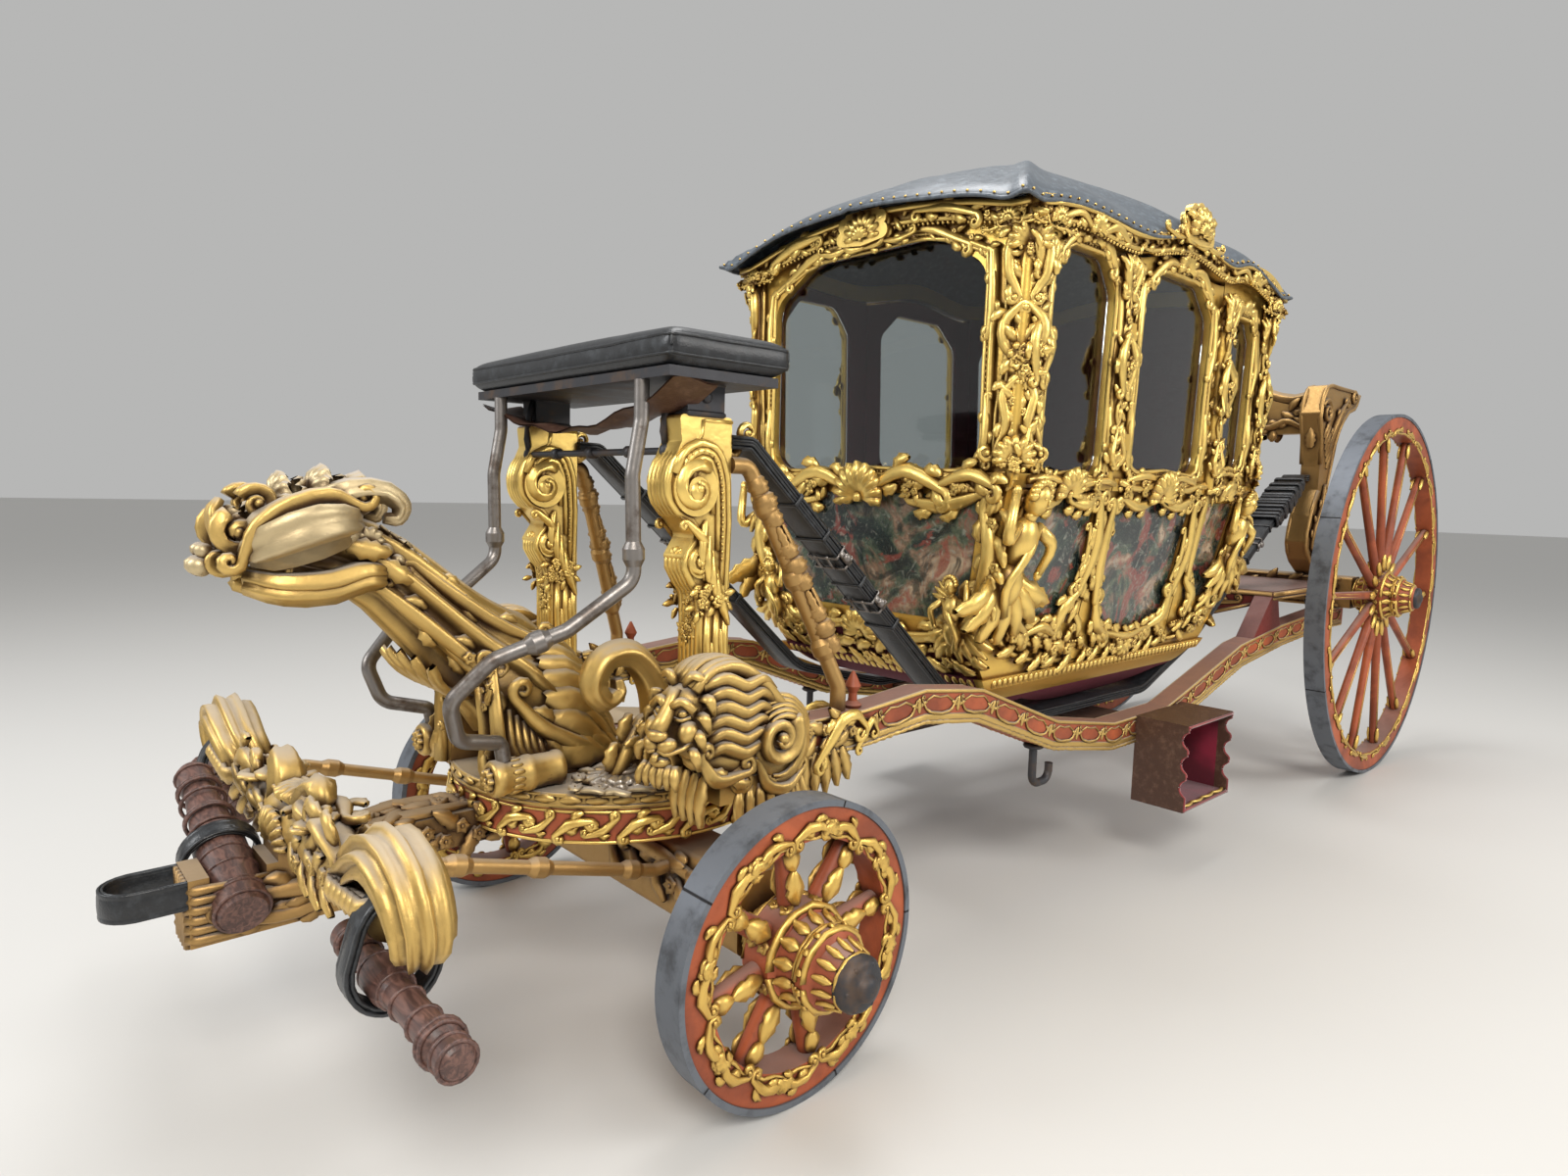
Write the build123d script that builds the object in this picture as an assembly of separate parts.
from build123d import *
import math
import os

# A gilded state coach: a closed body hung on leather braces between two side perches.
# Millimetres, +X forward, +Y the coach's left, +Z up.
# Stations along the coach are measured from the rear axle. At the end every piece moves back
# by ORIGIN_X, so that the origin lies on the ground under the middle of the coach.

# Running gear
REAR_WHEEL_R = 880.0
FRONT_WHEEL_R = 333.0
WHEELBASE = 3920.0
WHEEL_FACE_Y = 759.0
TYRE_WIDTH = 80.0
TYRE_THICK = 14.0
FELLOE_WIDTH = 72.0
REAR_FELLOE_DEPTH = 84.0
FRONT_FELLOE_DEPTH = 70.0
REAR_SPOKES = 14
FRONT_SPOKES = 8
REAR_SPOKE_R = 21.0
FRONT_SPOKE_R = 27.0
SPOKE_TIP_SHARE = 0.72
SPOKE_ROOT_SHARE = 0.7
SPOKE_TENON = 8.0
SPOKE_TURN = 10.0
HUB_INNER_Y = 622.0
REAR_HUB_OUTER_Y = 884.0
FRONT_HUB_OUTER_Y = 918.0
REAR_HUB_R = 118.0
FRONT_HUB_R = 112.0
REAR_AXLE_R = 34.0
FRONT_AXLE_R = 32.0
AXLE_STUB = 8.0

# Clearances
RUN_CLEAR = 0.3
SEAT_GAP = 0.3
MOVE_CLEAR = 6.0

# Body
WALL = 38.0
BODY_REAR_X = 1290.0
BODY_FRONT_X = 2970.0
BODY_KEEL_Z = 588.0
WAIST_Z = 1400.0
TRAY_TOP_Z = 760.0
WAIST_HALF = 565.0
TOP_HALF = 592.0
CORNER_RETURN = 62.0
DOOR_REAR_X = 1715.0
DOOR_FRONT_X = 2402.0
FRONT_WINDOW_HALF = 455.0
FRONT_WINDOW_SILL_Z = 1395.0
FRONT_WINDOW_TOP_Z = 2093.0
FRONT_WINDOW_RISE = 118.0
GLASS_THICK = 6.0
FRAME_WIDTH = 24.0
FRAME_OUT = 10.0
BELT_OUT = 14.0
BELT_Z = 1342.0
BELT_HEIGHT = 40.0
RIM_OUT = 12.0
FIELD_DEPTH = 8.0
COLUMN_R = 23.0
COLUMN_TOP_Z = 2056.0
DOOR_TOP_CLEAR = 12.0
HINGE_Y = 596.0
KNUCKLE_R = 8.0
KNUCKLE_TALL = 60.0
BENCH_TOP_Z = 1060.0
BENCH_DEPTH = 400.0
BENCH_HALF = 440.0

# Roof and cornice
EAVE_OUT = 42.0
EAVE_OUT_FRONT = 120.0
EAVE_OUT_REAR = 64.0
ROOF_CROWN_Z = 2488.0
ROOF_SHOULDER_Z = 2380.0
ROOF_SHOULDER_ALONG = 440.0
ROOF_SHOULDER_ACROSS = 270.0
ROOF_EDGE_Z = 2212.0
CORNER_DROOP = 250.0
ROOF_CORNER_Z = 2126.0
CORNICE_CORNER_Z = 2104.0
CORNICE_MID_Z = 2204.0
CORNICE_HEIGHT = 60.0
CORNICE_OUT = 30.0
CORNICE_LIP = 24.0
CORNICE_BACK = 60.0
ROOF_THICK = 40.0
CREST_R = 96.0
CREST_THICK = 24.0
CREST_DROP = 44.0
CREST_X = 2090.0
CREST_Z = 2206.0
FRONT_CREST_Z = 2140.0
CREST_LOBES = 7

# Perches and fixed front frame
PERCH_Y = 515.0
PERCH_WIDTH = 74.0
PERCH_HEIGHT = 96.0
TRANSOM_THICK = 51.0
TURNTABLE_R = 420.0
TURNTABLE_THICK = 36.0
LOWER_PLATE_THICK = 37.4
LOWER_RIM_WIDTH = 28.0
LOWER_RIM_DROP = 44.0
KINGPIN_R = 22.0
FINIAL_X = 3547.0
FINIAL_TALL = 98.0
DRUM_FRONT_X = 4370.0
DRUM_LENGTH = 170.0
DRUM_R = 38.0
DRUM_Y = 204.0
CONSOLE_HALF = 156.0
NICHE_HALF = 104.0
NECK_HALF = 88.0
HEAD_HALF = 175.0

# Front standards and box seat
STANDARD_Y = 358.0
STANDARD_WIDTH = 80.0
STANDARD_TOP_Z = 1478.0
STANDARD_REAR_X = 3862.0
STANDARD_SHAFT = 76.0
VOLUTE_X = 3968.0
VOLUTE_Z = 1312.0
VOLUTE_R = 62.0
FLUTE_R = 10.0
SEAT_REAR_X = 3756.0
SEAT_FRONT_X = 4121.0
SEAT_HALF = 511.0
CUSHION_TOP_Z = 1655.0
CUSHION_THICK = 84.0
SEAT_BOARD = 22.0

# Leather braces
BRACE_Y = 350.0
BRACE_WIDTH = 104.0
BRACE_THICK = 32.0

# Iron bars
IRON_R = 17.0
STAY_R = 20.0
STAY_ROD_R = 15.0
HOOK_R = 13.0
HOOK_X = 2700.0

# Rear bed and hind standards
REAR_BED_HALF = 62.0
REAR_BED_BELOW = 76.0
REAR_BED_ABOVE = 80.0
HIND_BOARD_FRONT_X = 900.0
HIND_BOARD_THICK = 28.0
HIND_STANDARD_Y = 400.0
HIND_STANDARD_WIDTH = 86.0
HIND_SEAT_X = 116.0

# Forecarriage
FRONT_BED_BELOW = 41.0
FRONT_BED_ABOVE = 137.0
FRONT_BED_HALF = 75.0
BEAM_HEIGHT = 80.0
BEAM_FRONT_X = 4918.0
BEAM_HALF = 62.0
BEAM_NOSE_BOTTOM_Z = 392.0
BEAM_NOSE_TOP_Z = 530.0
BEAM_NOSE_REAR_X = 4640.0
POLE_PIN_X = 4560.0
POLE_PIN_R = 16.0
SPLINTER_X = 4700.0
SPLINTER_HALF = 642.0
SPLINTER_R = 40.0
SPLINTER_SEAT_R = 48.0
SPLINTER_END_R = 62.0
SWINGLE_Y = 640.0
SWINGLE_X = 4728.0
SWINGLE_Z = 495.0
SWINGLE_HALF = 250.0
SWINGLE_R = 36.0
SWINGLE_END_R = 30.0
LOOP_Y = 598.0
LOOP_THICK = 16.0
LOOP_HOLE_R = 64.0
LOOP_WIDTH = 50.0
POLE_LOOP_TIP_X = 5056.0
POLE_LOOP_HALF = 60.0
POLE_LOOP_THICK = 12.0
POLE_LOOP_TALL = 58.0
POLE_LOOP_Z = 500.0
RING_SLACK = 16.0
RING_WIDTH = 44.0
RING_FROM_MIDDLE = 110.0
ROLLER_X = 4832.0
ROLLER_Z = 488.0
ROLLER_R = 50.0
ROLLER_NEAR = 110.0
ROLLER_FAR = 420.0
ROLLER_TILT = 18.0

# Steps
STEP_REAR_X = 1730.0
STEP_FRONT_X = 2100.0
STEP_BOTTOM_Z = 235.0
STEP_TOP_Z = 545.0
STEP_OUTER_Y = 742.0
STEP_WALL = 14.0

FRONT_AXLE_X = WHEELBASE
WHEEL_MID_Y = WHEEL_FACE_Y - TYRE_WIDTH / 2
ORIGIN_X = (POLE_LOOP_TIP_X - REAR_WHEEL_R) / 2
BODY_MID_X = (BODY_REAR_X + BODY_FRONT_X) / 2
HINGE_X = DOOR_FRONT_X + 3
ROOF_REAR_X = BODY_REAR_X - EAVE_OUT_REAR
ROOF_FRONT_X = BODY_FRONT_X + EAVE_OUT_FRONT
ROOF_HALF = TOP_HALF + EAVE_OUT
BODY_TOP_Z = CORNICE_MID_Z
REAR_BED_BOTTOM_Z = REAR_WHEEL_R - REAR_BED_BELOW
REAR_BED_TOP_Z = REAR_WHEEL_R + REAR_BED_ABOVE
HIND_BOARD_TOP_Z = REAR_BED_TOP_Z - 32
HIND_SEAT_Z = REAR_BED_TOP_Z + 490
AXLE_BED_TOP_Z = FRONT_WHEEL_R + FRONT_BED_ABOVE
BEAM_TOP_Z = AXLE_BED_TOP_Z + BEAM_HEIGHT
LOWER_PLATE_TOP_Z = BEAM_TOP_Z + SEAT_GAP + LOWER_PLATE_THICK
TRANSOM_BOTTOM_Z = LOWER_PLATE_TOP_Z + RUN_CLEAR + TURNTABLE_THICK
TRANSOM_TOP_Z = TRANSOM_BOTTOM_Z + TRANSOM_THICK

pieces = {}


def keep(name, shape):
    pieces[name] = shape


def mirrored(shape):
    return mirror(shape, Plane.XZ)


def keep_pair(name, shape):
    """Two pieces, one on each side, each under its own name."""
    keep(name + "_left", shape)
    keep(name + "_right", mirrored(shape))


def keep_both(name, *shapes):
    """Left pieces and their right twins under one name."""
    solids = []
    for shape in shapes:
        solids += shape.solids()
        solids += mirrored(shape).solids()
    keep(name, Compound(children=solids))


def block(x0, x1, y0, y1, z0, z1):
    size = Box(x1 - x0, y1 - y0, z1 - z0)
    return Pos((x0 + x1) / 2, (y0 + y1) / 2, (z0 + z1) / 2) * size


def slab(outline, y0, y1):
    """A flat piece with an outline in X and Z, between two places across the coach."""
    face = make_face(Plane.XZ * outline)
    return Pos(0, y1, 0) * extrude(face, y1 - y0, dir=(0, -1, 0))


def cross_slab(outline, x0, x1):
    """A flat piece with an outline in Y and Z, between two stations along the coach."""
    face = make_face(Plane.YZ * outline)
    return Pos(x0, 0, 0) * extrude(face, x1 - x0, dir=(1, 0, 0))


def rounded(points, radius):
    return FilletPolyline(*points, radius=radius, close=True)


def rod(points, radius, bend):
    """A round bar along straight runs joined by arcs."""
    path = FilletPolyline(*points, radius=bend) if len(points) > 2 else Polyline(*points)
    section = Plane(origin=path @ 0, z_dir=path % 0) * Circle(radius)
    return sweep(section, path=path)


def beside(points, gaps):
    """Points moved to the left of their path by the gap given for each, mitred at the corners."""
    moved = []
    for i, (x, z) in enumerate(points):
        before = Vector(*points[max(i, 1)]) - Vector(*points[max(i, 1) - 1])
        last = min(i, len(points) - 2)
        after = Vector(*points[last + 1]) - Vector(*points[last])
        n1 = before.normalized().rotate(Axis.Z, 90)
        n2 = after.normalized().rotate(Axis.Z, 90)
        n = (n1 + n2) / (1 + n1.dot(n2))
        moved.append((x + n.X * gaps[i], z + n.Y * gaps[i]))
    return moved


def flat_bar(points, thick, width, bend, y):
    """A bar cut from plank: a bent path in X and Z, a thickness at each point, and a width."""
    if not isinstance(thick, (list, tuple)):
        thick = [thick] * len(points)
    upper = FilletPolyline(*beside(points, [t / 2 for t in thick]), radius=bend)
    lower = FilletPolyline(*beside(points, [-t / 2 for t in thick]), radius=bend)
    outline = Curve() + [upper, Line(upper @ 1, lower @ 1), lower, Line(lower @ 0, upper @ 0)]
    return slab(outline, y - width / 2, y + width / 2)


def turned(profile, start, direction, bore=0):
    """A turned piece. The profile holds pairs of distance along the axis and radius."""
    points = [(bore, profile[0][0])] + [(r, d) for d, r in profile] + [(bore, profile[-1][0])]
    face = make_face(Plane.XZ * Polyline(*points, close=True))
    solid = revolve(face, Axis.Z)
    return Plane(origin=start, z_dir=direction).location * solid


def ring_y(outer, inner, width, x, y, z):
    """A flat ring standing upright along the coach, with its middle at x, y, z."""
    ring = Cylinder(outer, width) - Cylinder(inner, width + 2)
    return Pos(x, y, z) * Rot(90, 0, 0) * ring


# Wheels

def wheel(x, radius, felloe_depth, spokes, spoke_r, hub_r, hub_outer, axle_r):
    """The tyre, the painted wheel and the turned hub of a left wheel, made at the origin and placed."""
    y = WHEEL_MID_Y
    tyre = ring_y(radius, radius - TYRE_THICK, TYRE_WIDTH, 0, y, 0)
    felloe_r = radius - TYRE_THICK - SEAT_GAP
    felloes = ring_y(felloe_r, felloe_r - felloe_depth, FELLOE_WIDTH, 0, y, 0)
    root = hub_r * SPOKE_ROOT_SHARE
    length = felloe_r - felloe_depth - root + SPOKE_TENON
    one = Cone(spoke_r, spoke_r * SPOKE_TIP_SHARE, length)
    ring_of_spokes = []
    for i in range(spokes):
        angle = 360.0 * i / spokes + SPOKE_TURN
        place = Pos(0, y, 0) * Rot(0, angle, 0) * Pos(0, 0, root + length / 2)
        ring_of_spokes.append(place * one)
    inner = y - HUB_INNER_Y
    outer = hub_outer - y
    profile = [
        (-inner, hub_r * 0.55), (-inner * 0.8, hub_r * 0.66), (-inner * 0.5, hub_r * 0.8),
        (-inner * 0.42, hub_r), (inner * 0.42, hub_r), (inner * 0.5, hub_r * 0.84),
        (outer * 0.42, hub_r * 0.72), (outer * 0.5, hub_r * 0.8), (outer * 0.6, hub_r * 0.8),
        (outer * 0.66, hub_r * 0.62), (outer * 0.9, hub_r * 0.5), (outer, hub_r * 0.38),
    ]
    hub = turned(profile, (0, y, 0), (0, 1, 0), axle_r + RUN_CLEAR)
    stand = Pos(x, 0, radius)
    return stand * tyre, stand * felloes.fuse(hub, *ring_of_spokes)


wheel_table = [
    # name, station, radius, felloe depth, spokes, spoke radius, hub radius, hub end, axle radius
    ("rear", 0.0, REAR_WHEEL_R, REAR_FELLOE_DEPTH, REAR_SPOKES, REAR_SPOKE_R, REAR_HUB_R,
     REAR_HUB_OUTER_Y, REAR_AXLE_R),
    ("front", FRONT_AXLE_X, FRONT_WHEEL_R, FRONT_FELLOE_DEPTH, FRONT_SPOKES, FRONT_SPOKE_R,
     FRONT_HUB_R, FRONT_HUB_OUTER_Y, FRONT_AXLE_R),
]
for name, *sizes in wheel_table:
    tyre, wood = wheel(*sizes)
    keep_pair(name + "_tyre", tyre)
    keep_pair(name + "_wheel", wood)


# Axles

def axle(x, z, radius, hub_outer):
    end = hub_outer + AXLE_STUB
    profile = [(-end, radius * 0.6), (-end + AXLE_STUB, radius), (end - AXLE_STUB, radius),
               (end, radius * 0.6)]
    return turned(profile, (x, 0, z), (0, 1, 0))


# Body shell

def body_side(grow):
    """The body's outline along the coach, moved in or out by grow."""
    rear = BODY_REAR_X - grow
    front = BODY_FRONT_X + grow
    keel = BODY_KEEL_Z - grow
    top = BODY_TOP_Z + max(-grow, 0) + 1
    return Curve() + [
        Line((rear, top), (rear, 950)),
        ThreePointArc((rear, 950), (rear + 115, 745 - grow), (rear + 360, 652 - grow)),
        ThreePointArc((rear + 360, 652 - grow), (BODY_MID_X, keel), (front - 370, 646 - grow)),
        ThreePointArc((front - 370, 646 - grow), (front - 105, 722 - grow), (front, 920)),
        Line((front, 920), (front, top)),
        Line((front, top), (rear, top)),
    ]


def body_section(grow):
    """The body's outline across the coach, moved in or out by grow."""
    keel = BODY_KEEL_Z - 10 - grow
    top = BODY_TOP_Z + max(-grow, 0) + 1
    low = (452 + grow, 800)
    waist = (WAIST_HALF + grow, WAIST_Z)
    brow = (TOP_HALF + grow, top)
    edges = []
    for s in (1, -1):
        edges += [
            Line((0, keel), (s * 300.0, keel)),
            ThreePointArc((s * 300.0, keel), (s * (410 + grow), 665 - grow * 0.5), (s * low[0], low[1])),
            Line((s * low[0], low[1]), (s * waist[0], waist[1])),
            Line((s * waist[0], waist[1]), (s * brow[0], brow[1])),
        ]
    edges.append(Line((brow[0], brow[1]), (-brow[0], brow[1])))
    return Curve() + edges


def body_form(grow):
    side = slab(body_side(grow), -800, 800)
    section = cross_slab(body_section(grow), BODY_REAR_X - 200, BODY_FRONT_X + 200)
    return side & section


def eave_under(gap):
    """Everything below the serpentine underside of the roof, moved down by gap."""
    corner = CORNICE_CORNER_Z - gap
    crown = CORNICE_MID_Z - gap
    rear = ROOF_REAR_X - 5
    front = ROOF_FRONT_X + 5
    half = ROOF_HALF + 5
    waves = [
        # station, height of the underside
        (rear, corner + 12), (BODY_REAR_X + 290, crown - 10), (DOOR_REAR_X + 70, crown - 34),
        (CREST_X, crown), (DOOR_FRONT_X + 40, crown - 60), (BODY_FRONT_X - 175, crown - 52),
        (front, corner),
    ]
    side = Curve() + [
        Spline(*waves),
        Polyline((front, corner), (front, 0), (rear, 0), waves[0]),
    ]
    across = Curve() + [
        ThreePointArc((-half, corner), (0, crown), (half, corner)),
        Polyline((half, corner), (half, 0), (-half, 0), (-half, corner)),
    ]
    return slab(side, -half, half) + cross_slab(across, rear, front)


def band(grow, z0, z1):
    """A raised band round the body between two heights."""
    return (body_form(grow) - body_form(-5)) & block(0, 4000, -800, 800, z0, z1)


def window_outline(x0, x1, sill, spring, top, bend, grow=0):
    """A window with a flattened, round-cornered head, moved out by grow."""
    low = sill - grow
    high = top + grow
    shoulder = (x1 - x0) * 0.22
    return rounded([
        (x0 - grow, low), (x1 + grow, low), (x1 + grow, spring + grow), (x1 - shoulder, high),
        (x0 + shoulder, high), (x0 - grow, spring + grow),
    ], bend)


shell = body_form(0) - body_form(-WALL)
shell += band(BELT_OUT, BELT_Z, BELT_Z + BELT_HEIGHT)
shell += band(RIM_OUT, TRAY_TOP_Z - 44, TRAY_TOP_Z - 8)
frame_skin = body_form(FRAME_OUT) - body_form(-5)
field_skin = body_form(20) - body_form(-FIELD_DEPTH)
pane_skin = body_form(-WALL / 2 + GLASS_THICK / 2) - body_form(-WALL / 2 - GLASS_THICK / 2)
FRONT_SPLIT_X = BODY_FRONT_X - CORNER_RETURN
REAR_SPLIT_X = BODY_REAR_X + CORNER_RETURN
wall_top = eave_under(CORNICE_HEIGHT + SEAT_GAP)
door_top = eave_under(CORNICE_HEIGHT + DOOR_TOP_CLEAR)

side_windows = [
    # name, rear edge, front edge, sill, spring, top, corner radius
    ("quarter_rear", 1425.0, 1640.0, 1445.0, 1935.0, 2005.0, 40.0),
    ("door", 1812.0, 2318.0, 1415.0, 1965.0, 2065.0, 60.0),
    ("quarter_front", 2500.0, 2852.0, 1390.0, 1950.0, 2045.0, 60.0),
]
side_fields = [
    # name, lower rear, lower front, upper rear, upper front, lower height
    ("quarter_rear", 1440.0, 1650.0, 1385.0, 1665.0, 930.0),
    ("door", 1800.0, 2317.0, 1760.0, 2357.0, 840.0),
    ("quarter_front", 2462.0, 2780.0, 2458.0, 2872.0, 930.0),
]
side_spans = {
    "quarter_rear": (REAR_SPLIT_X, DOOR_REAR_X - MOVE_CLEAR, TRAY_TOP_Z, wall_top),
    "door": (DOOR_REAR_X, DOOR_FRONT_X, TRAY_TOP_Z + MOVE_CLEAR, door_top),
    "quarter_front": (DOOR_FRONT_X + MOVE_CLEAR, FRONT_SPLIT_X, TRAY_TOP_Z, wall_top),
}
columns = {
    "quarter_rear": DOOR_REAR_X - MOVE_CLEAR - COLUMN_R - 1,
    "quarter_front": DOOR_FRONT_X + MOVE_CLEAR + COLUMN_R + 12,
}


def wall_y(z):
    """Half width of the body at a height above the waist."""
    return WAIST_HALF + (TOP_HALF - WAIST_HALF) * (z - WAIST_Z) / (BODY_TOP_Z + 1 - WAIST_Z)


def column(x, inset):
    """A round column leaning with the wall, from the belt to the cornice."""
    ends = [(x, wall_y(z) - inset, z) for z in (BELT_Z + 20, COLUMN_TOP_Z)]
    return rod(ends, COLUMN_R, 0)


def hinge_knuckle(z):
    """A round hinge barrel with its leaf, standing clear of the wall on the door's front edge."""
    barrel = Pos(HINGE_X, HINGE_Y, z) * Cylinder(KNUCKLE_R, KNUCKLE_TALL)
    leaf = block(DOOR_FRONT_X - 34, DOOR_FRONT_X - 2, wall_y(z) - 8, HINGE_Y + KNUCKLE_R / 2,
                 z - KNUCKLE_TALL / 2 + 4, z + KNUCKLE_TALL / 2 - 4)
    return barrel + leaf


def sunk_field(z0, x0, x1, x2, x3):
    """The outline of a painted field under the belt."""
    return rounded([(x0, z0), (x1, z0), (x3, BELT_Z - 25), (x2, BELT_Z - 25)], 50)


quarter_panes = []
for (name, *window), (_, x0, x1, x2, x3, z0) in zip(side_windows, side_fields):
    rear, front, bottom, ceiling = side_spans[name]
    wall = shell + (frame_skin & slab(window_outline(*window, grow=FRAME_WIDTH), 300, 800))
    wall -= slab(window_outline(*window), 300, 800)
    wall -= field_skin & slab(sunk_field(z0, x0, x1, x2, x3), 300, 800)
    wall &= block(rear, front, 60, 800, bottom, BODY_TOP_Z)
    wall &= ceiling
    pane = pane_skin & slab(window_outline(*window, grow=-SEAT_GAP), 300, 800)
    if name == "door":
        keep_pair(name, wall + hinge_knuckle(1500.0) + hinge_knuckle(1850.0))
        keep_pair(name + "_glass", pane)
    else:
        keep_both(name + "_panels", wall + column(columns[name], 0))
        quarter_panes.append(pane)
keep_both("quarter_glass", *quarter_panes)


def front_window(grow):
    half = FRONT_WINDOW_HALF
    spring = FRONT_WINDOW_TOP_Z - FRONT_WINDOW_RISE
    return window_outline(-half, half, FRONT_WINDOW_SILL_Z, spring, FRONT_WINDOW_TOP_Z, 90, grow)


def end_field(z0, z1, low, high):
    return rounded([(-low, z0), (low, z0), (high, z1), (-high, z1)], 60)


front_wall = shell & block(FRONT_SPLIT_X, BODY_FRONT_X + 30, -800, 800, TRAY_TOP_Z, BODY_TOP_Z) & wall_top
front_wall += cross_slab(front_window(FRAME_WIDTH), BODY_FRONT_X - 5, BODY_FRONT_X + FRAME_OUT)
front_wall -= cross_slab(front_window(0), FRONT_SPLIT_X - 10, BODY_FRONT_X + 30)
low_field = end_field(960, BELT_Z - 25, 350, 430)
front_wall -= cross_slab(low_field, BODY_FRONT_X - FIELD_DEPTH, BODY_FRONT_X + 5)
rear_wall = shell & block(BODY_REAR_X - 30, REAR_SPLIT_X, -800, 800, TRAY_TOP_Z, BODY_TOP_Z) & wall_top
for field in (low_field, end_field(BELT_Z + 70, 2040, 440, 440)):
    rear_wall -= cross_slab(field, BODY_REAR_X - 5, BODY_REAR_X + FIELD_DEPTH)
front_column = column(BODY_FRONT_X - 8, 8)
rear_column = column(BODY_REAR_X + 8, 8)
keep("body_front", front_wall + front_column + mirrored(front_column))
keep("body_rear", rear_wall + rear_column + mirrored(rear_column))
pane_x = BODY_FRONT_X - WALL / 2
keep("front_glass", cross_slab(front_window(-SEAT_GAP), pane_x - GLASS_THICK / 2, pane_x + GLASS_THICK / 2))
keep("body_tray", shell & block(BODY_REAR_X - 30, BODY_FRONT_X + 30, -800, 800, 0, TRAY_TOP_Z))

# Benches inside the body
inner_rear = BODY_REAR_X + WALL
inner_front = BODY_FRONT_X - WALL
for name, wall_x, forward in (("rear", inner_rear, 1), ("front", inner_front, -1)):
    edge = wall_x + forward * (BENCH_DEPTH + SEAT_GAP)
    near = wall_x + forward * 20
    x0, x1 = sorted((near, edge))
    bench = block(x0, x1, -BENCH_HALF, BENCH_HALF, 700, BENCH_TOP_Z) & body_form(-WALL - 1)
    keep("bench_" + name, bench)
    cushion = block(x0, x1, -BENCH_HALF, BENCH_HALF, BENCH_TOP_Z + SEAT_GAP, BENCH_TOP_Z + 90)
    keep("bench_cushion_" + name, cushion & body_form(-WALL - 8))


# Cornice and roof

def roof_profile(low, high, shoulder):
    """A tent-shaped roof outline, straight from each eave and rounded over the crown."""
    mid = (low + high) / 2
    return Curve() + [
        Line((low, ROOF_EDGE_Z), (low + shoulder, ROOF_SHOULDER_Z)),
        ThreePointArc((low + shoulder, ROOF_SHOULDER_Z), (mid, ROOF_CROWN_Z),
                      (high - shoulder, ROOF_SHOULDER_Z)),
        Polyline((high - shoulder, ROOF_SHOULDER_Z), (high, ROOF_EDGE_Z), (high, 2000), (low, 2000),
                 (low, ROOF_EDGE_Z)),
    ]


def roof_form():
    along = slab(roof_profile(ROOF_REAR_X, ROOF_FRONT_X, ROOF_SHOULDER_ALONG), -ROOF_HALF, ROOF_HALF)
    across = roof_profile(-ROOF_HALF, ROOF_HALF, ROOF_SHOULDER_ACROSS)
    return along & cross_slab(across, ROOF_REAR_X, ROOF_FRONT_X)


def roof_corners():
    """The four wedges that are cut off where the roof droops at its corners."""
    wedges = []
    for sx, cx in ((1, ROOF_FRONT_X), (-1, ROOF_REAR_X)):
        for sy in (1, -1):
            corner = Vector(cx, sy * ROOF_HALF, ROOF_CORNER_Z)
            along = Vector(cx - sx * CORNER_DROOP, sy * ROOF_HALF, ROOF_EDGE_Z)
            across = Vector(cx, sy * (ROOF_HALF - CORNER_DROOP), ROOF_EDGE_Z)
            normal = (along - corner).cross(across - corner)
            if normal.Z < 0:
                normal = normal * -1
            place = Plane(origin=corner, z_dir=normal).location * Pos(0, 0, 300)
            wedges.append(place * Box(1200, 1200, 600))
    return wedges


roof = roof_form() - eave_under(0) - roof_corners()
attic = (Pos(0, 0, -ROOF_THICK) * roof_form()) & block(
    BODY_REAR_X + CORNICE_BACK, BODY_FRONT_X - CORNICE_BACK, -TOP_HALF + CORNICE_BACK,
    TOP_HALF - CORNICE_BACK, 2000, ROOF_CROWN_Z)
keep("roof", roof - attic)


def cornice_block(out):
    return block(BODY_REAR_X - out, BODY_FRONT_X + out, -TOP_HALF - out, TOP_HALF + out, 1900,
                 CORNICE_MID_Z + 20)


cornice = cornice_block(CORNICE_OUT) - eave_under(CORNICE_HEIGHT)
cornice += cornice_block(EAVE_OUT) - eave_under(CORNICE_LIP)
cornice = (cornice - cornice_block(-CORNICE_BACK)) & eave_under(SEAT_GAP)


def shell_outline(x, z):
    """A fan with a scalloped edge, standing on its hinge."""
    points = []
    for i in range(CREST_LOBES + 1):
        a = math.radians(-25 + 230 * i / CREST_LOBES)
        points.append((x + CREST_R * math.cos(a), z + CREST_R * 0.85 * math.sin(a)))
    edges = []
    for (ax, az), (bx, bz) in zip(points, points[1:]):
        mx = (ax + bx) / 2
        mz = (az + bz) / 2
        bulge = (x + (mx - x) * 1.2, z + (mz - z) * 1.2)
        edges.append(ThreePointArc((ax, az), bulge, (bx, bz)))
    edges.append(Polyline(points[-1], (x, z - CREST_DROP), points[0]))
    return Curve() + edges


side_crest = slab(shell_outline(CREST_X, CREST_Z), TOP_HALF, ROOF_HALF + CREST_THICK)
above_eave = block(CREST_X - 300, CREST_X + 300, 0, ROOF_HALF + SEAT_GAP, 2000, 2500)
side_crest = (side_crest - above_eave) + (side_crest & eave_under(SEAT_GAP))
side_crest -= block(CREST_X - 300, CREST_X + 300, 0, TOP_HALF + 2, 2000, 2500)
front_crest = cross_slab(shell_outline(0, FRONT_CREST_Z), BODY_FRONT_X + 10, BODY_FRONT_X + EAVE_OUT + 20)
rear_crest = cross_slab(shell_outline(0, FRONT_CREST_Z), BODY_REAR_X - EAVE_OUT - 20, BODY_REAR_X - 10)
end_crests = (front_crest + rear_crest) & eave_under(SEAT_GAP)
keep("cornice", cornice + side_crest + mirrored(side_crest) + end_crests)

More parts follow.
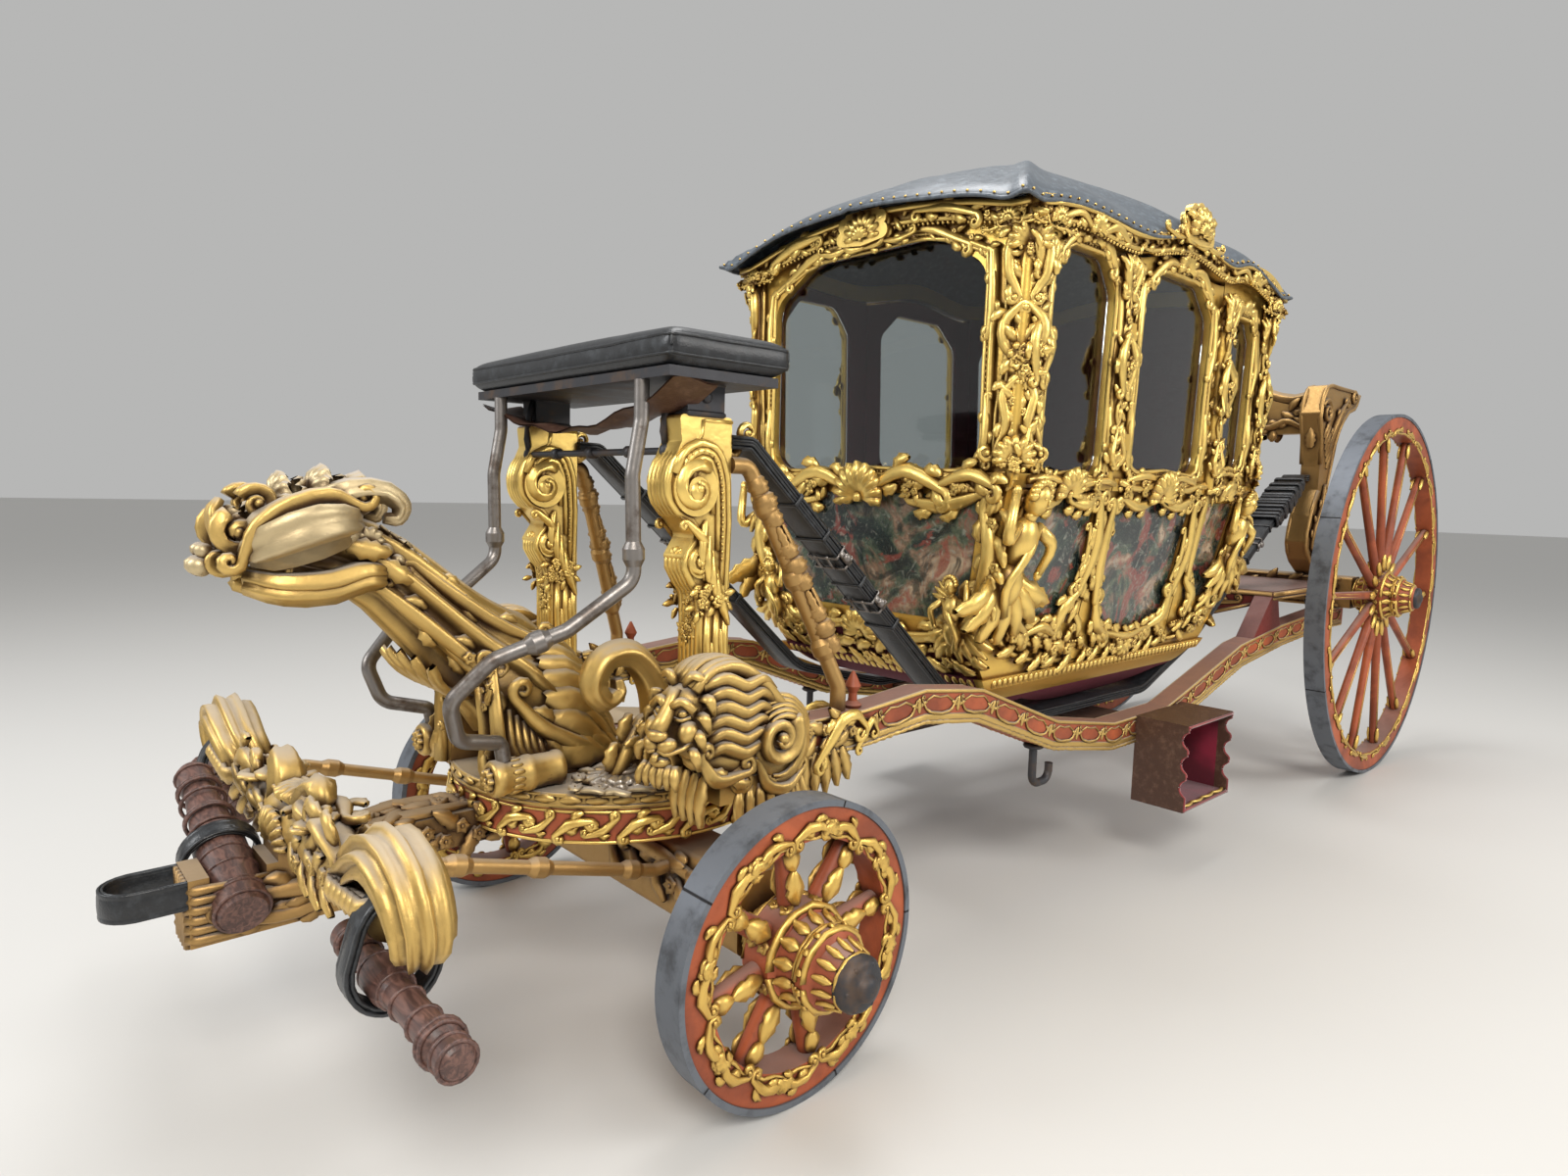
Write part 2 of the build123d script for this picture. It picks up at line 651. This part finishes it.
# Side perches
PERCH_FRONT_Z = TRANSOM_TOP_Z + SEAT_GAP + PERCH_HEIGHT / 2
PERCH_REAR_Z = REAR_BED_BOTTOM_Z - SEAT_GAP - PERCH_HEIGHT / 2
perch_path = [
    # station, height of the middle
    (3905, PERCH_FRONT_Z), (3540, PERCH_FRONT_Z), (3300, 745), (3050, 714), (2640, 560), (2260, 494),
    (1850, 497), (1200, 672), (760, 722), (240, PERCH_REAR_Z), (-60, PERCH_REAR_Z),
]


def perch_face(x, side):
    """Height and slope of the perch's upper (1) or lower (-1) face on its straight runs."""
    for (x1, z1), (x0, z0) in zip(perch_path, perch_path[1:]):
        if x0 <= x <= x1:
            slope = (z1 - z0) / (x1 - x0)
            return z0 + slope * (x - x0) + side * PERCH_HEIGHT / 2 * math.hypot(1, slope), slope
    raise ValueError("station beyond the perch")


PERCH_INNER_Y = PERCH_Y - PERCH_WIDTH / 2
PERCH_OUTER_Y = PERCH_Y + PERCH_WIDTH / 2
perch = flat_bar(perch_path, PERCH_HEIGHT, PERCH_WIDTH, 160, PERCH_Y)
finial_foot = perch_face(FINIAL_X, 1)[0] - 4
finial = turned([(0, 20), (12, 24), (22, 12), (42, 11), (60, 21), (78, 13), (FINIAL_TALL, 3)],
                (FINIAL_X, PERCH_Y, finial_foot), (0, 0, 1))
keep_pair("perch", perch + finial)
keep("perch_plank", block(1900, 2240, -PERCH_INNER_Y + SEAT_GAP, PERCH_INNER_Y - SEAT_GAP, 470, 500))

# Rear axle, bed and board
rear_axle = axle(0, REAR_WHEEL_R, REAR_AXLE_R, REAR_HUB_OUTER_Y)
bed_outline = rounded([(-REAR_BED_HALF, REAR_BED_BOTTOM_Z), (REAR_BED_HALF, REAR_BED_BOTTOM_Z),
                       (REAR_BED_HALF, REAR_BED_TOP_Z), (-REAR_BED_HALF, REAR_BED_TOP_Z)], 14)
rear_bed = slab(bed_outline, -HUB_INNER_Y + MOVE_CLEAR, HUB_INNER_Y - MOVE_CLEAR)
rear_bed -= Pos(0, 0, REAR_WHEEL_R) * Rot(90, 0, 0) * Cylinder(REAR_AXLE_R + SEAT_GAP, 1400)
keep("rear_axle", rear_axle)
keep("rear_bed", rear_bed)
board_bottom = HIND_BOARD_TOP_Z - HIND_BOARD_THICK
hind_board = block(REAR_BED_HALF + SEAT_GAP, HIND_BOARD_FRONT_X, -PERCH_OUTER_Y, PERCH_OUTER_Y,
                   board_bottom, HIND_BOARD_TOP_Z)
apron = rounded([(-PERCH_INNER_Y, HIND_BOARD_TOP_Z - 4), (-PERCH_INNER_Y, 860), (-300, 800), (-120, 752),
                 (120, 752), (300, 800), (PERCH_INNER_Y, 860), (PERCH_INNER_Y, HIND_BOARD_TOP_Z - 4)], 14)
hind_board += cross_slab(apron, HIND_BOARD_FRONT_X - 24, HIND_BOARD_FRONT_X)
bracket_rear = HIND_BOARD_FRONT_X - 110
bracket_front = HIND_BOARD_FRONT_X + 180
bracket = slab(Polyline(
    (bracket_rear, perch_face(bracket_rear, 1)[0] + SEAT_GAP),
    (bracket_front, perch_face(bracket_front, 1)[0] + SEAT_GAP),
    (HIND_BOARD_FRONT_X, board_bottom + 14), (HIND_BOARD_FRONT_X - 60, board_bottom + 14), close=True),
    PERCH_INNER_Y, PERCH_OUTER_Y)
keep("hind_board", hind_board + bracket + mirrored(bracket))

# Hind standards
hind_points = [
    # station, rise above the rear bed
    (-40, SEAT_GAP), (56, SEAT_GAP), (190, 80), (238, 170), (200, 300), (HIND_SEAT_X, 432),
    (HIND_SEAT_X, 548), (136, 680), (178, 810), (104, 953), (-240, 962), (-396, 945), (-340, 872),
    (-227, 837), (-111, 715), (-40, 540), (20, 340), (0, 170), (-62, 90),
]
hind_outline = rounded([(x, REAR_BED_TOP_Z + rise) for x, rise in hind_points], 16)
hind_standard = slab(hind_outline, HIND_STANDARD_Y - HIND_STANDARD_WIDTH / 2,
                     HIND_STANDARD_Y + HIND_STANDARD_WIDTH / 2)
keep_both("hind_standards", hind_standard)
hind_span = HIND_STANDARD_Y - HIND_STANDARD_WIDTH / 2 - SEAT_GAP
crest_points = [
    # place across the coach, rise above the rear bed
    (-hind_span, 720), (hind_span, 720), (hind_span, 840), (180, 890), (90, 940), (-90, 940), (-180, 890),
    (-hind_span, 840),
]
crest_outline = rounded([(y, REAR_BED_TOP_Z + rise) for y, rise in crest_points], 18)
keep("hind_crest", cross_slab(crest_outline, -30, 44))

# Fixed front frame above the turntable
transom = block(FRONT_AXLE_X - 90, FRONT_AXLE_X + 90, -PERCH_Y - 50, PERCH_Y + 50, TRANSOM_BOTTOM_Z,
                TRANSOM_TOP_Z)
upper_mid_z = TRANSOM_BOTTOM_Z - TURNTABLE_THICK / 2
upper_plate = Pos(FRONT_AXLE_X, 0, upper_mid_z) * Cylinder(TURNTABLE_R, TURNTABLE_THICK)
pin_hole = Pos(FRONT_AXLE_X, 0, TRANSOM_BOTTOM_Z) * Cylinder(KINGPIN_R + RUN_CLEAR, 200)
keep("transom", transom - pin_hole)
keep("upper_turntable", upper_plate - pin_hole)

# Perch heads: a mask on the perch end, a volute on its outer side and a leaf under it
mask_outline = FilletPolyline(
    (3850, 772), (3868, 872), (3960, 925), (4010, 936), (4085, 908), (4143, 857), (4136, 799),
    (4074, 743), (4040, 680), (3906, 680), (3906, 772), radius=12, close=True)
mask = slab(mask_outline, PERCH_Y - 63, PERCH_Y + 63)
volute = Pos(3842, PERCH_OUTER_Y + 20, 736) * Rot(90, 0, 0) * Cylinder(80, 40)
volute += Pos(3842, PERCH_OUTER_Y + 44, 736) * Rot(90, 0, 0) * Cylinder(30, 20)
leaf_outline = Polyline((3748, 674), (3829, 674), (3829, 600), (3806, 552), (3770, 545), (3752, 600),
                        close=True)
leaf = slab(leaf_outline, PERCH_INNER_Y + 6, PERCH_OUTER_Y + 30)
transom_room = block(FRONT_AXLE_X - 90 - SEAT_GAP, FRONT_AXLE_X + 90 + SEAT_GAP, 0,
                     PERCH_Y + 50 + SEAT_GAP, TRANSOM_BOTTOM_Z - SEAT_GAP, TRANSOM_TOP_Z + SEAT_GAP)
perch_room = flat_bar(perch_path, PERCH_HEIGHT + 2 * SEAT_GAP, PERCH_WIDTH + 2 * SEAT_GAP, 160,
                      PERCH_Y)
keep_both("perch_heads", mask + volute + leaf - perch_room - transom_room)

# Drums in front of the turntable
DRUM_Z = TRANSOM_BOTTOM_Z + DRUM_R + SEAT_GAP
drum = turned([(0, DRUM_R * 0.8), (40, DRUM_R), (150, DRUM_R), (DRUM_LENGTH, DRUM_R * 0.84)],
              (DRUM_FRONT_X - DRUM_LENGTH, DRUM_Y, DRUM_Z), (1, 0, 0))
keep_both("drums", drum)

# Footboard console: an arched foot with a niche, a curved neck and a shell head
CONSOLE_Z = TRANSOM_BOTTOM_Z + SEAT_GAP
foot_outline = Polyline((4066, CONSOLE_Z), (4330, CONSOLE_Z), (4322, 800), (4340, 960), (4120, 960),
                        (4080, 860), close=True)
foot = slab(foot_outline, -CONSOLE_HALF, CONSOLE_HALF)
foot &= cross_slab(Curve() + [
    Polyline((-CONSOLE_HALF, 790), (-CONSOLE_HALF, 600), (CONSOLE_HALF, 600), (CONSOLE_HALF, 790)),
    ThreePointArc((CONSOLE_HALF, 790), (0, 950), (-CONSOLE_HALF, 790)),
], 4000, 4400)
niche = block(4220, 4400, -NICHE_HALF, NICHE_HALF, CONSOLE_Z + 16, 760)
niche += Pos(4310, 0, 760) * Rot(0, 90, 0) * Cylinder(NICHE_HALF, 180)
neck = slab(FilletPolyline(
    (4110, 880), (4300, 840), (4374, 819), (4470, 950), (4561, 1058), (4700, 1110), (4690, 1240),
    (4578, 1300), (4480, 1235), (4404, 1110), (4334, 1022), (4204, 954),
    radius=24, close=True), -NECK_HALF, NECK_HALF)
head = slab(FilletPolyline(
    (4492, 1245), (4511, 1150), (4555, 1097), (4740, 1100), (4850, 1155), (4805, 1216), (4764, 1266),
    (4697, 1308), (4610, 1330), (4560, 1316), radius=14, close=True), -HEAD_HALF, HEAD_HALF)
head &= cross_slab(Curve() + [
    Polyline((-HEAD_HALF, 1170), (-HEAD_HALF + 60, 1096), (HEAD_HALF - 60, 1096), (HEAD_HALF, 1170)),
    ThreePointArc((HEAD_HALF, 1170), (0, 1336), (-HEAD_HALF, 1170)),
], 4400, 4900)
keep("footboard_console", foot - niche + neck + head)

# Front standards
standard_low_y = STANDARD_Y - STANDARD_WIDTH / 2
standard_high_y = STANDARD_Y + STANDARD_WIDTH / 2
standard_outline = FilletPolyline(
    (STANDARD_REAR_X, TRANSOM_TOP_Z + SEAT_GAP), (3985, TRANSOM_TOP_Z + SEAT_GAP), (3955, 780),
    (STANDARD_REAR_X + STANDARD_SHAFT, 886), (STANDARD_REAR_X + STANDARD_SHAFT, 1055), (3997, 1157),
    (3966, 1206), (4025, 1271), (4045, 1328), (4004, 1419), (4010, STANDARD_TOP_Z),
    (STANDARD_REAR_X, STANDARD_TOP_Z),
    radius=10, close=True)
standard = slab(standard_outline, standard_low_y, standard_high_y)
scrolls = [
    # station, height, radius, how far each face stands out
    (VOLUTE_X, VOLUTE_Z, VOLUTE_R, 9.0),
    (VOLUTE_X, VOLUTE_Z, VOLUTE_R * 0.45, 18.0),
    (3952, 1140.0, 32.0, 8.0),
]
for x, z, r, out in scrolls:
    standard += Pos(x, STANDARD_Y, z) * Rot(90, 0, 0) * Cylinder(r, STANDARD_WIDTH + 2 * out)
for i in (-1, 0, 1):
    standard -= Pos(STANDARD_REAR_X + STANDARD_SHAFT + 3, STANDARD_Y + 24 * i, 970) * Cylinder(FLUTE_R, 150)
keep_both("front_standards", standard)

# Box seat
CUSHION_BOTTOM_Z = CUSHION_TOP_Z - CUSHION_THICK
keep("seat_cushion", block(SEAT_REAR_X, SEAT_FRONT_X, -SEAT_HALF, SEAT_HALF, CUSHION_BOTTOM_Z,
                           CUSHION_TOP_Z))
board_top = CUSHION_BOTTOM_Z - SEAT_GAP
board = block(SEAT_REAR_X + 30, SEAT_FRONT_X - 30, -SEAT_HALF + 40, SEAT_HALF - 40,
              board_top - SEAT_BOARD, board_top)
post = block(3885, 3990, standard_low_y, standard_high_y, STANDARD_TOP_Z + SEAT_GAP, board_top - 1)
keep("seat_frame", board + post + mirrored(post))


def collar(low, high, share, inner, outer):
    """A short swelling on a round bar, at a share of the way between two points."""
    a = Vector(*low)
    b = Vector(*high)
    run = (b - a).normalized()
    profile = [(-30, inner), (-12, outer), (12, outer), (30, inner)]
    return turned(profile, a + (b - a) * share, run)


# Footboard irons, from the drums up in a curve to the seat board
iron_path = [
    (4338, DRUM_Y, DRUM_Z + DRUM_R + SEAT_GAP + 1.5), (4345, DRUM_Y, 742), (4452, 230, 768),
    (4480, 255, 860), (4400, 285, 945), (4245, 320, 1000), (4098, 353, 1106), (4102, 350, 1340),
    (4080, 350, 1460), (4080, 350, board_top - SEAT_BOARD - SEAT_GAP),
]
iron = rod(iron_path, IRON_R, [20, 45, 45, 60, 60, 50, 60, 60])
iron += collar(iron_path[4], iron_path[5], 0.6, IRON_R - 1, IRON_R + 8)
iron += collar(iron_path[6], iron_path[7], 0.25, IRON_R - 1, IRON_R + 8)
keep_both("footboard_irons", iron)

# Stays from the standards to the perches
STAY_FOOT_Z = perch_face(3601, 1)[0] + SEAT_GAP
stay_path = [(STANDARD_REAR_X - SEAT_GAP, STANDARD_Y + 34, 1370), (3806, STANDARD_Y + 34, 1370),
             (3601, PERCH_Y, STAY_FOOT_Z + 60), (3601, PERCH_Y, STAY_FOOT_Z)]
stay = rod(stay_path, STAY_R, 30)
for share in (0.18, 0.5, 0.82):
    stay += collar(stay_path[1], stay_path[2], share, STAY_R - 1, STAY_R + 8)
keep_both("stays", stay)

# Leather braces
UNDER_BODY_Z = BODY_KEEL_Z - SEAT_GAP - BRACE_THICK / 2
brace_path = [
    (STANDARD_REAR_X - SEAT_GAP, 1424), (3796, 1424), (2960, 680), (2520, UNDER_BODY_Z),
    (1740, UNDER_BODY_Z), (1330, 726), (180, HIND_SEAT_Z), (HIND_SEAT_X + SEAT_GAP, HIND_SEAT_Z),
]
brace_bends = [26, 220, 220, 220, 220, 26]
brace = flat_bar(brace_path, BRACE_THICK, BRACE_WIDTH, brace_bends, BRACE_Y)
buckles = [
    # lower point, upper point, share of the way up
    (brace_path[2], brace_path[1], 0.45),
    (brace_path[2], brace_path[1], 0.62),
    (brace_path[5], brace_path[6], 0.55),
]
for (ax, az), (bx, bz), share in buckles:
    middle = (ax + (bx - ax) * share, BRACE_Y, az + (bz - az) * share)
    place = Plane(origin=middle, x_dir=(bx - ax, 0, bz - az), z_dir=(0, 1, 0)).location
    brace += place * Box(46, BRACE_THICK + 16, BRACE_WIDTH + 14)
keep_pair("brace", brace)

# Steps: open on their outer side, with a lid level with the perch
step_inner_y = PERCH_OUTER_Y + SEAT_GAP
step = block(STEP_REAR_X, STEP_FRONT_X, step_inner_y, STEP_OUTER_Y, STEP_BOTTOM_Z, STEP_TOP_Z)
step -= block(STEP_REAR_X + STEP_WALL, STEP_FRONT_X - STEP_WALL, step_inner_y + STEP_WALL,
              STEP_OUTER_Y + 10, STEP_BOTTOM_Z + STEP_WALL, STEP_TOP_Z - STEP_WALL)
for z in (320, 405, 490):
    notch = Pos(STEP_REAR_X + 200, STEP_OUTER_Y + 12, z) * Rot(0, 90, 0) * Cylinder(34, 900)
    step -= notch
keep_both("steps", step)

# Iron hooks under the perches
underside, slope = perch_face(HOOK_X, -1)
hook_top = underside - HOOK_R * abs(slope) - SEAT_GAP
hook = rod([(HOOK_X, PERCH_Y, hook_top), (HOOK_X, PERCH_Y, 400), (HOOK_X - 96, PERCH_Y, 400),
            (HOOK_X - 96, PERCH_Y, 455)], HOOK_R, 34)
keep_both("hooks", hook)

# Forecarriage
front_axle = axle(FRONT_AXLE_X, FRONT_WHEEL_R, FRONT_AXLE_R, FRONT_HUB_OUTER_Y)
bed_front = FRONT_AXLE_X + FRONT_BED_HALF
bed_rear = FRONT_AXLE_X - FRONT_BED_HALF
bed_bottom = FRONT_WHEEL_R - FRONT_BED_BELOW
bed = rounded([(bed_rear, bed_bottom), (bed_front, bed_bottom), (bed_front, AXLE_BED_TOP_Z),
               (bed_rear, AXLE_BED_TOP_Z)], 18)
front_bed = slab(bed, -HUB_INNER_Y + MOVE_CLEAR, HUB_INNER_Y - MOVE_CLEAR)
front_bed -= Pos(FRONT_AXLE_X, 0, FRONT_WHEEL_R) * Rot(90, 0, 0) * Cylinder(FRONT_AXLE_R + SEAT_GAP, 1400)
keep("front_axle", front_axle)
keep("front_bed", front_bed)

# Pole beam with its nose, the notch for the roller and the hole for the pole pin
beam = block(3560, 4760, -BEAM_HALF, BEAM_HALF, AXLE_BED_TOP_Z + SEAT_GAP, BEAM_TOP_Z)
beam += block(BEAM_NOSE_REAR_X, BEAM_FRONT_X, -BEAM_HALF, BEAM_HALF, BEAM_NOSE_BOTTOM_Z, BEAM_NOSE_TOP_Z)
roller_place = Pos(ROLLER_X, 0, ROLLER_Z) * Rot(90 - ROLLER_TILT, 0, 0)
notch_r = ROLLER_R + SEAT_GAP
beam -= roller_place * Cylinder(notch_r, 600)
beam -= roller_place * Pos(0, 100, 0) * Box(2 * notch_r, 200, 600)
beam -= Pos(POLE_PIN_X, 0, BEAM_TOP_Z) * Cylinder(POLE_PIN_R, 400)
keep("pole_beam", beam)
roller_end = ROLLER_R * 0.72
roller = turned([
    (-ROLLER_FAR, roller_end * 0.8), (-ROLLER_FAR + 14, roller_end), (-ROLLER_FAR + 70, roller_end),
    (-ROLLER_FAR + 90, ROLLER_R * 0.6), (-160, ROLLER_R * 0.9), (-150, ROLLER_R),
    (ROLLER_NEAR - 20, ROLLER_R), (ROLLER_NEAR, ROLLER_R * 0.84),
], (0, 0, 0), (0, 0, -1))
keep("pole_roller", roller_place * roller)

lower_plate = Pos(FRONT_AXLE_X, 0, LOWER_PLATE_TOP_Z - LOWER_PLATE_THICK / 2) * Cylinder(
    TURNTABLE_R, LOWER_PLATE_THICK)
rim_top = LOWER_PLATE_TOP_Z - LOWER_PLATE_THICK
rim = Cylinder(TURNTABLE_R, LOWER_RIM_DROP) - Cylinder(TURNTABLE_R - LOWER_RIM_WIDTH, LOWER_RIM_DROP + 2)
lower_plate += Pos(FRONT_AXLE_X, 0, rim_top - LOWER_RIM_DROP / 2 + 0.5) * rim
lower_plate -= block(3400, 4500, -BEAM_HALF - SEAT_GAP, BEAM_HALF + SEAT_GAP, 400, rim_top)
pin_top = TRANSOM_TOP_Z - 5
pin_mid = Pos(FRONT_AXLE_X, 0, (LOWER_PLATE_TOP_Z + pin_top) / 2)
pin = pin_mid * Cylinder(KINGPIN_R, pin_top - LOWER_PLATE_TOP_Z)
keep("lower_turntable", lower_plate + pin)

# Splinter bar with cylindrical seats for the leather loops
SPLINTER_Z = BEAM_TOP_Z + SPLINTER_R + SEAT_GAP
seat_low = LOOP_Y - LOOP_WIDTH / 2 - 4
seat_high = LOOP_Y + LOOP_WIDTH / 2 + 4
half_profile = [
    (BEAM_HALF + 10, SPLINTER_R), (BEAM_HALF + 30, 54), (BEAM_HALF + 70, 54), (BEAM_HALF + 110, SPLINTER_R),
    (seat_low - 130, SPLINTER_R), (seat_low - 50, 56), (seat_low, 56), (seat_low, SPLINTER_SEAT_R),
    (seat_high, SPLINTER_SEAT_R), (seat_high, SPLINTER_END_R), (SPLINTER_HALF - 8, SPLINTER_END_R),
    (SPLINTER_HALF, SPLINTER_END_R - 12),
]
profile = [(-d, r) for d, r in reversed(half_profile)] + half_profile
keep("splinter_bar", turned(profile, (SPLINTER_X, 0, SPLINTER_Z), (0, 1, 0)))
rod_path = [(bed_front + SEAT_GAP, 380, 430), (bed_front + 60, 380, 430),
            (SPLINTER_X - 110, 400, SPLINTER_Z), (SPLINTER_X - SPLINTER_R - SEAT_GAP, 400, SPLINTER_Z)]
stay_rod = rod(rod_path, STAY_ROD_R, 40)
for share in (0.12, 0.55, 0.88):
    stay_rod += collar(rod_path[1], rod_path[2], share, STAY_ROD_R - 1, STAY_ROD_R + 7)
keep_both("stay_rods", stay_rod)

# Swingletrees hung in leather loops
seat_offset = LOOP_Y - SWINGLE_Y
swingle_profile = [
    (-SWINGLE_HALF, SWINGLE_END_R - 8), (-SWINGLE_HALF + 8, SWINGLE_END_R),
    (-SWINGLE_HALF + 40, SWINGLE_END_R), (-SWINGLE_HALF + 48, 22), (seat_offset - 56, 26),
    (seat_offset - 27, SWINGLE_R), (seat_offset + 27, SWINGLE_R), (seat_offset + 56, 26),
    (SWINGLE_HALF - 90, 26), (SWINGLE_HALF - 80, SWINGLE_R), (SWINGLE_HALF - 60, SWINGLE_R),
    (SWINGLE_HALF - 50, 24), (SWINGLE_HALF - 38, SWINGLE_END_R), (SWINGLE_HALF - 8, SWINGLE_END_R),
    (SWINGLE_HALF, SWINGLE_END_R - 8),
]
keep_both("swingletrees", turned(swingle_profile, (SWINGLE_X, SWINGLE_Y, SWINGLE_Z), (0, 1, 0)))
up = Vector(SPLINTER_X - SWINGLE_X, 0, SPLINTER_Z - SWINGLE_Z).normalized()
loop_top = Vector(SPLINTER_X, LOOP_Y, SPLINTER_Z) - up * (LOOP_HOLE_R - SPLINTER_SEAT_R - SEAT_GAP)
loop_low = Vector(SWINGLE_X, LOOP_Y, SWINGLE_Z) + up * (LOOP_HOLE_R - SWINGLE_R - SEAT_GAP)
loop_run = (loop_top - loop_low).length
loop_face = SlotCenterToCenter(loop_run, 2 * (LOOP_HOLE_R + LOOP_THICK)) - SlotCenterToCenter(
    loop_run, 2 * LOOP_HOLE_R)
loop_plane = Plane(origin=(loop_top + loop_low) / 2, x_dir=up, z_dir=(0, 1, 0))
keep_both("trace_loops", extrude(loop_plane * loop_face, LOOP_WIDTH / 2, both=True))

# Leather loop in front of the beam, and the ring hung on the roller
tip_run = POLE_LOOP_TIP_X - BEAM_FRONT_X - POLE_LOOP_HALF
tip_face = SlotCenterToCenter(tip_run, 2 * POLE_LOOP_HALF) - SlotCenterToCenter(
    tip_run, 2 * (POLE_LOOP_HALF - POLE_LOOP_THICK))
tip_mid = POLE_LOOP_TIP_X - POLE_LOOP_HALF - tip_run / 2
tip = Pos(tip_mid, 0, POLE_LOOP_Z) * extrude(tip_face, POLE_LOOP_TALL / 2, both=True)
tip -= block(4000, BEAM_FRONT_X + SEAT_GAP, -200, 200, 300, 700)
ring_r = ROLLER_R + RING_SLACK
ring = Cylinder(ring_r + POLE_LOOP_THICK, RING_WIDTH) - Cylinder(ring_r, RING_WIDTH + 2)
ring = roller_place * Pos(0, SEAT_GAP - RING_SLACK, RING_FROM_MIDDLE) * ring
keep("pole_loop", Compound(children=tip.solids() + ring.solids()))

os.makedirs("parts", exist_ok=True)
for name, shape in pieces.items():
    export_step(Pos(-ORIGIN_X, 0, 0) * shape, "parts/" + name + ".step")
print(len(pieces), "pieces")
